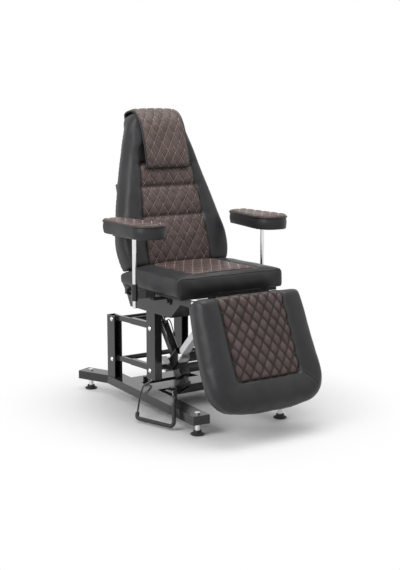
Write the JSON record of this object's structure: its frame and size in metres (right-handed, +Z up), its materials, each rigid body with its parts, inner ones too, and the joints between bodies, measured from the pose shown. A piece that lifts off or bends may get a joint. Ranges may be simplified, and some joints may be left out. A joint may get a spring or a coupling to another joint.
{
  "type": "tattoo chair",
  "caption": "Tattoo chair with quilted brown panels on black upholstery, powered parallel-arm lift, reclining back, raising leg rest and adjustable armrests.",
  "frame": {"origin": "middle of the chair's outer box at floor level, between the foot pads", "axes": "+Z up, -Y the way the sitter faces, +X to the sitter's left"},
  "size_m": [0.8202, 1.2672, 1.3877],
  "materials": {
    "black_steel": "satin powder coat",
    "chrome_steel": "polished",
    "black_rubber": "matte",
    "black_plastic": "fine matte",
    "lead_sheath": "smooth",
    "black_leather": "soft faux leather with a low sheen",
    "brown_leather": "quilted faux leather, slightly worn",
    "plywood": "dark stained board",
    "grey_aluminium": "satin",
    "bright_rod": "ground"
  },
  "bodies": {
    "base": {"right_rail": "black_steel", "left_rail": "black_steel", "rail_end_caps": "black_plastic", "foot_stems": "chrome_steel", "foot_lock_nuts": "chrome_steel", "foot_pads": "black_rubber", "front_cross_member": "black_steel", "rear_cross_member": "black_steel", "right_upright": "black_steel", "left_upright": "black_steel", "rear_pivot_bolts": "chrome_steel"},
    "foot_bar": {"foot_bar_rod": "black_steel", "foot_bar_sleeve": "black_rubber"},
    "upper_arms": {"upper_lift_arms": "black_steel"},
    "lower_arms": {"lower_lift_arms": "black_steel"},
    "carrier": {"right_carrier_post": "black_steel", "left_carrier_post": "black_steel", "front_pivot_bolts": "chrome_steel", "motor_beam": "black_steel", "seat_housing_right": "black_steel", "seat_housing_left": "black_steel", "seat_housing_front": "black_steel", "seat_hinge_pins": "chrome_steel", "seat_board": "plywood", "seat_cushion": "black_leather", "seat_quilted_panel": "brown_leather", "control_box": "black_plastic", "motor_lead": "lead_sheath", "lead_connector": "black_plastic", "right_armrest_bracket": "black_steel", "left_armrest_bracket": "black_steel"},
    "back": {"back_frame": "black_steel", "back_board": "plywood", "back_cushion": "black_leather", "back_quilted_panel": "brown_leather", "headrest_pad": "brown_leather"},
    "leg_rest": {"leg_frame": "black_steel", "leg_board": "plywood", "leg_cushion": "black_leather", "leg_quilted_panel": "brown_leather"},
    "lift_drive": {"lift_actuator_drive": "black_steel", "lift_actuator_motor": "black_plastic"},
    "lift_rod": {"lift_actuator_rod": "bright_rod"},
    "back_drive": {"back_actuator_drive": "grey_aluminium", "back_actuator_motor": "black_plastic"},
    "back_rod": {"back_actuator_rod": "bright_rod"},
    "leg_drive": {"leg_actuator_drive": "grey_aluminium", "leg_actuator_motor": "black_plastic"},
    "leg_rod": {"leg_actuator_rod": "bright_rod"},
    "right_post": {"right_armrest_post": "chrome_steel"},
    "right_pad": {"right_armrest_plate": "black_steel", "right_armrest_pad": "black_leather", "right_armrest_quilted_panel": "brown_leather"},
    "right_knob": {"right_clamp_knob": "black_plastic"},
    "left_post": {"left_armrest_post": "chrome_steel"},
    "left_pad": {"left_armrest_plate": "black_steel", "left_armrest_pad": "black_leather", "left_armrest_quilted_panel": "brown_leather"},
    "left_knob": {"left_clamp_knob": "black_plastic"}
  },
  "joints": [
    {"name": "lift", "type": "hinge", "parent": "base", "child": "upper_arms", "pos_m": [0, 0.3884, 0.382], "axis": [-1, 0, 0], "range_deg": [-5, 38]},
    {"name": "lower_arm_swing", "type": "hinge", "parent": "base", "child": "lower_arms", "pos_m": [0, 0.3884, 0.185], "axis": [-1, 0, 0], "range_deg": [-5, 38]},
    {"name": "carrier_level", "type": "hinge", "parent": "upper_arms", "child": "carrier", "pos_m": [0, 0.04561, 0.39397], "axis": [-1, 0, 0], "range_deg": [-38, 5]},
    {"name": "recline", "type": "hinge", "parent": "carrier", "child": "back", "pos_m": [0, 0.2004, 0.56], "axis": [-1, 0, 0], "range_deg": [0, 74]},
    {"name": "leg_raise", "type": "hinge", "parent": "carrier", "child": "leg_rest", "pos_m": [0, -0.3096, 0.562], "axis": [-1, 0, 0], "range_deg": [0, 66.5]},
    {"name": "lift_drive_swing", "type": "hinge", "parent": "base", "child": "lift_drive", "pos_m": [-0.05, -0.0096, 0.125], "axis": [1, 0, 0], "range_deg": [-1, 2.5]},
    {"name": "lift_rod_stroke", "type": "slide", "parent": "lift_drive", "child": "lift_rod", "axis": [0, 0.6101, 0.7923], "range_m": [-0.0155, 0.1125]},
    {"name": "back_drive_swing", "type": "hinge", "parent": "carrier", "child": "back_drive", "pos_m": [0.062, -0.0976, 0.512], "axis": [1, 0, 0], "range_deg": [-0.5, 1.5]},
    {"name": "back_rod_stroke", "type": "slide", "parent": "back_drive", "child": "back_rod", "axis": [0, 0.9994, 0.0344], "range_m": [-0.0555, 0.001]},
    {"name": "leg_drive_swing", "type": "hinge", "parent": "carrier", "child": "leg_drive", "pos_m": [-0.13, -0.0196, 0.215], "axis": [1, 0, 0], "range_deg": [-0.5, 4.5]},
    {"name": "leg_rod_stroke", "type": "slide", "parent": "leg_drive", "child": "leg_rod", "axis": [0, -0.7108, 0.7034], "range_m": [-0.001, 0.066]},
    {"name": "right_post_height", "type": "slide", "parent": "carrier", "child": "right_post", "axis": [0, 0, 1], "range_m": [-0.04, 0.08]},
    {"name": "right_pad_swivel", "type": "hinge", "parent": "right_post", "child": "right_pad", "pos_m": [-0.35, -0.0536, 0.829], "axis": [0, 0, 1], "range_deg": [-5, 90]},
    {"name": "right_clamp_screw", "type": "hinge", "parent": "carrier", "child": "right_knob", "pos_m": [-0.35, -0.0396, 0.589], "axis": [0, 1, 0], "range_deg": [0, 270]},
    {"name": "left_post_height", "type": "slide", "parent": "carrier", "child": "left_post", "axis": [0, 0, 1], "range_m": [-0.04, 0.08]},
    {"name": "left_pad_swivel", "type": "hinge", "parent": "left_post", "child": "left_pad", "pos_m": [0.35, -0.0536, 0.829], "axis": [0, 0, -1], "range_deg": [-5, 90]},
    {"name": "left_clamp_screw", "type": "hinge", "parent": "carrier", "child": "left_knob", "pos_m": [0.35, -0.0396, 0.589], "axis": [0, 1, 0], "range_deg": [0, 270]},
    {"name": "foot_bar_rock", "type": "hinge", "parent": "base", "child": "foot_bar", "pos_m": [-0.118, -0.0136, 0.108], "axis": [0, 1, 0], "range_deg": [-2, 4], "stiffness_Nm_per_rad": 60, "springref_deg": 0.69}
  ],
  "couplings": [
    {"joint": "lower_arm_swing", "follows": "lift", "ratio": 1},
    {"joint": "carrier_level", "follows": "lift", "ratio": -1},
    {"joint": "lift_drive_swing", "follows": "lift", "ratio": 0.044},
    {"joint": "lift_rod_stroke", "follows": "lift", "m_per_rad": 0.1677},
    {"joint": "back_drive_swing", "follows": "recline", "ratio": 0.0108},
    {"joint": "back_rod_stroke", "follows": "recline", "m_per_rad": -0.04222},
    {"joint": "leg_drive_swing", "follows": "leg_raise", "ratio": 0.0238},
    {"joint": "leg_rod_stroke", "follows": "leg_raise", "m_per_rad": 0.05572}
  ]
}
